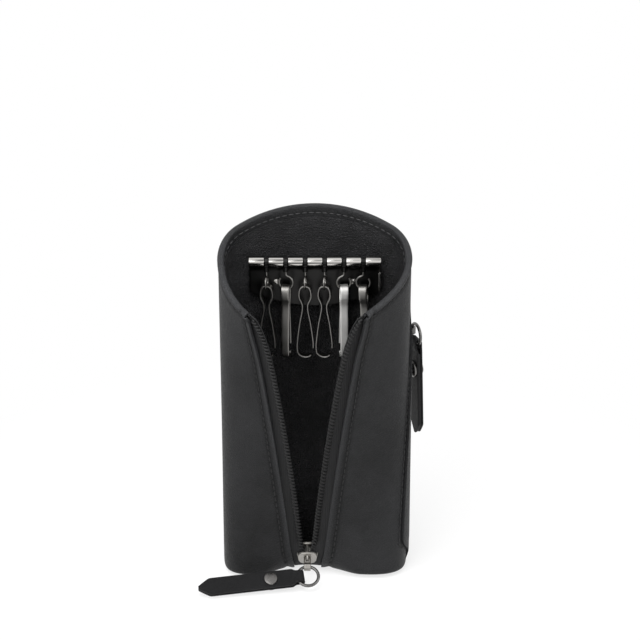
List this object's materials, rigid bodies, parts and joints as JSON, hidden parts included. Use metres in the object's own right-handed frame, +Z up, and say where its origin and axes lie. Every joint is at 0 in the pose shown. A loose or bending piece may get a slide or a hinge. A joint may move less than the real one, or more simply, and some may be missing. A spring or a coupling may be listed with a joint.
{
  "type": "zippered key holder",
  "caption": "Soft leather key pouch standing with its front zip open, swivel key hooks on a nickel bar inside, and a back pocket with its own zip puller.",
  "frame": {"origin": "on the underside of the base, midway between the two side seams, below their upper ends", "axes": "+X to the right seen from the front, -Y towards the open front zip, +Z up"},
  "size_m": [0.0807, 0.0492, 0.1337],
  "materials": {
    "black_leather": "fine grained, semi-matt",
    "black_lining": "matt",
    "black_tape": "woven, matt",
    "black_nylon": "satin",
    "polished_nickel": "polished"
  },
  "bodies": {
    "pouch": {"back_panel": "black_leather", "left_front_panel": "black_leather", "right_front_panel": "black_leather", "lining": "black_lining", "rim_facing": "black_leather", "plate_backing": "black_leather", "key_plate": "polished_nickel", "key_rod": "polished_nickel", "plate_rivet_left": "polished_nickel", "plate_rivet_right": "polished_nickel", "pocket_upper_tape": "black_tape", "pocket_lower_tape": "black_tape", "pocket_upper_coil": "black_nylon", "pocket_lower_coil": "black_nylon"},
    "left_zip_half": {"left_coil": "black_nylon", "left_tape": "black_tape"},
    "right_zip_half": {"right_coil": "black_nylon", "right_tape": "black_tape"},
    "main_slider_body": {"main_slider": "polished_nickel"},
    "main_link": {"main_pull_link": "polished_nickel"},
    "main_ring": {"main_pull_ring": "polished_nickel"},
    "main_strap": {"main_pull_tab": "black_leather", "main_pull_rivet": "polished_nickel"},
    "pocket_slider_body": {"pocket_slider": "polished_nickel"},
    "pocket_link": {"pocket_pull_link": "polished_nickel"},
    "pocket_ring": {"pocket_pull_ring": "polished_nickel"},
    "pocket_strap": {"pocket_pull_tab": "black_leather", "pocket_pull_rivet": "polished_nickel"},
    "hanger_body_1": {"hanger_1": "polished_nickel"},
    "swivel_body_1": {"swivel_1": "polished_nickel"},
    "hook_body_1": {"hook_1": "polished_nickel"},
    "hanger_body_2": {"hanger_2": "polished_nickel"},
    "swivel_body_2": {"swivel_2": "polished_nickel"},
    "hook_body_2": {"hook_2": "polished_nickel"},
    "hanger_body_3": {"hanger_3": "polished_nickel"},
    "swivel_body_3": {"swivel_3": "polished_nickel"},
    "hook_body_3": {"hook_3": "polished_nickel"},
    "hanger_body_4": {"hanger_4": "polished_nickel"},
    "swivel_body_4": {"swivel_4": "polished_nickel"},
    "hook_body_4": {"hook_4": "polished_nickel"},
    "hanger_body_5": {"hanger_5": "polished_nickel"},
    "swivel_body_5": {"swivel_5": "polished_nickel"},
    "hook_body_5": {"hook_5": "polished_nickel"},
    "hanger_body_6": {"hanger_6": "polished_nickel"},
    "swivel_body_6": {"swivel_6": "polished_nickel"},
    "hook_body_6": {"hook_6": "polished_nickel"}
  },
  "joints": [
    {"name": "main_zip_run", "type": "hinge", "parent": "pouch", "child": "main_slider_body", "pos_m": [-0.0028, 0.33239, 0.07744], "axis": [-1, 0, 0], "range_deg": [0, 14.79], "deforming": ["left_front_panel", "right_front_panel", "lining", "rim_facing"]},
    {"name": "left_zip_close", "type": "hinge", "parent": "pouch", "child": "left_zip_half", "pos_m": [-0.0044, -0.012, 0.011], "axis": [-0.4002, 0.9164, 0], "range_deg": [0, 7], "deforming": ["left_coil", "left_tape"]},
    {"name": "right_zip_close", "type": "hinge", "parent": "pouch", "child": "right_zip_half", "pos_m": [-0.0012, -0.012, 0.011], "axis": [0.4002, 0.9164, 0], "range_deg": [-7, 0], "deforming": ["right_coil", "right_tape"]},
    {"name": "main_link_swing", "type": "hinge", "parent": "main_slider_body", "child": "main_link", "pos_m": [-0.0028, -0.01363, 0.00692], "axis": [1, 0, 0], "range_deg": [-65, 45]},
    {"name": "main_ring_swing", "type": "hinge", "parent": "main_link", "child": "main_ring", "pos_m": [-0.0028, -0.0183, 0.00643], "axis": [1, 0, 0], "range_deg": [-80, 60]},
    {"name": "main_strap_flap", "type": "hinge", "parent": "main_ring", "child": "main_strap", "pos_m": [-0.0063, -0.0221, 0.00432], "axis": [-0.1453, 0.8457, 0.5135], "range_deg": [-15, 15]},
    {"name": "pocket_zip_run", "type": "hinge", "parent": "pouch", "child": "pocket_slider_body", "pos_m": [0, -0.034, 0.08648], "axis": [0, 0, 1], "range_deg": [0, 53], "deforming": ["pocket_upper_coil", "pocket_lower_coil"]},
    {"name": "pocket_link_swing", "type": "hinge", "parent": "pocket_slider_body", "child": "pocket_link", "pos_m": [0.02601, 0.01403, 0.08648], "axis": [0, 0, 1], "range_deg": [-3, 105]},
    {"name": "pocket_ring_swing", "type": "hinge", "parent": "pocket_link", "child": "pocket_ring", "pos_m": [0.03479, 0.01335, 0.08648], "axis": [0, 0, 1], "range_deg": [-6, 90]},
    {"name": "pocket_strap_flap", "type": "hinge", "parent": "pocket_ring", "child": "pocket_strap", "pos_m": [0.03621, 0.00983, 0.08268], "axis": [0.3746, -0.9272, 0], "range_deg": [-1, 15]},
    {"name": "hanger_swing_1", "type": "hinge", "parent": "pouch", "child": "hanger_body_1", "pos_m": [-0.017, 0.00621, 0.11638], "axis": [1, 0, 0], "range_deg": [-70, 2]},
    {"name": "hook_turn_1", "type": "hinge", "parent": "hanger_body_1", "child": "swivel_body_1", "pos_m": [-0.017, 0.00621, 0.11638], "axis": [0, 0, 1], "range_deg": [-90, 90]},
    {"name": "hook_swing_1", "type": "hinge", "parent": "swivel_body_1", "child": "hook_body_1", "pos_m": [-0.017, 0.00621, 0.10588], "axis": [0.1392, 0.9903, 0], "range_deg": [-3, 5]},
    {"name": "hanger_swing_2", "type": "hinge", "parent": "pouch", "child": "hanger_body_2", "pos_m": [-0.0102, 0.00621, 0.11638], "axis": [1, 0, 0], "range_deg": [-70, 2]},
    {"name": "hook_turn_2", "type": "hinge", "parent": "hanger_body_2", "child": "swivel_body_2", "pos_m": [-0.0102, 0.00621, 0.11638], "axis": [0, 0, 1], "range_deg": [-5, 90]},
    {"name": "hook_swing_2", "type": "hinge", "parent": "swivel_body_2", "child": "hook_body_2", "pos_m": [-0.0102, 0.00621, 0.10588], "axis": [0.9903, -0.1392, 0], "range_deg": [-45, 3]},
    {"name": "hanger_swing_3", "type": "hinge", "parent": "pouch", "child": "hanger_body_3", "pos_m": [-0.0034, 0.00621, 0.11638], "axis": [1, 0, 0], "range_deg": [-70, 2]},
    {"name": "hook_turn_3", "type": "hinge", "parent": "hanger_body_3", "child": "swivel_body_3", "pos_m": [-0.0034, 0.00621, 0.11638], "axis": [0, 0, 1], "range_deg": [-90, 90]},
    {"name": "hook_swing_3", "type": "hinge", "parent": "swivel_body_3", "child": "hook_body_3", "pos_m": [-0.0034, 0.00621, 0.10588], "axis": [0.1045, 0.9945, 0], "range_deg": [-1.2, 4]},
    {"name": "hanger_swing_4", "type": "hinge", "parent": "pouch", "child": "hanger_body_4", "pos_m": [0.0034, 0.00621, 0.11638], "axis": [1, 0, 0], "range_deg": [-70, 2]},
    {"name": "hook_turn_4", "type": "hinge", "parent": "hanger_body_4", "child": "swivel_body_4", "pos_m": [0.0034, 0.00621, 0.11638], "axis": [0, 0, 1], "range_deg": [-90, 90]},
    {"name": "hook_swing_4", "type": "hinge", "parent": "swivel_body_4", "child": "hook_body_4", "pos_m": [0.0034, 0.00621, 0.10588], "axis": [0.1392, 0.9903, 0], "range_deg": [-5, 1.2]},
    {"name": "hanger_swing_5", "type": "hinge", "parent": "pouch", "child": "hanger_body_5", "pos_m": [0.0102, 0.00621, 0.11638], "axis": [1, 0, 0], "range_deg": [-70, 2]},
    {"name": "hook_turn_5", "type": "hinge", "parent": "hanger_body_5", "child": "swivel_body_5", "pos_m": [0.0102, 0.00621, 0.11638], "axis": [0, 0, 1], "range_deg": [-5, 90]},
    {"name": "hook_swing_5", "type": "hinge", "parent": "swivel_body_5", "child": "hook_body_5", "pos_m": [0.0102, 0.00621, 0.10588], "axis": [0.9962, 0.0872, 0], "range_deg": [-45, 5]},
    {"name": "hanger_swing_6", "type": "hinge", "parent": "pouch", "child": "hanger_body_6", "pos_m": [0.017, 0.00621, 0.11638], "axis": [1, 0, 0], "range_deg": [-70, 2]},
    {"name": "hook_turn_6", "type": "hinge", "parent": "hanger_body_6", "child": "swivel_body_6", "pos_m": [0.017, 0.00621, 0.11638], "axis": [0, 0, 1], "range_deg": [0, 90]},
    {"name": "hook_swing_6", "type": "hinge", "parent": "swivel_body_6", "child": "hook_body_6", "pos_m": [0.017, 0.00621, 0.10588], "axis": [0.9903, -0.1392, 0], "range_deg": [-30, 5]}
  ],
  "couplings": [
    {"joint": "left_zip_close", "follows": "main_zip_run", "ratio": 0.47329},
    {"joint": "right_zip_close", "follows": "main_zip_run", "ratio": -0.47329}
  ]
}
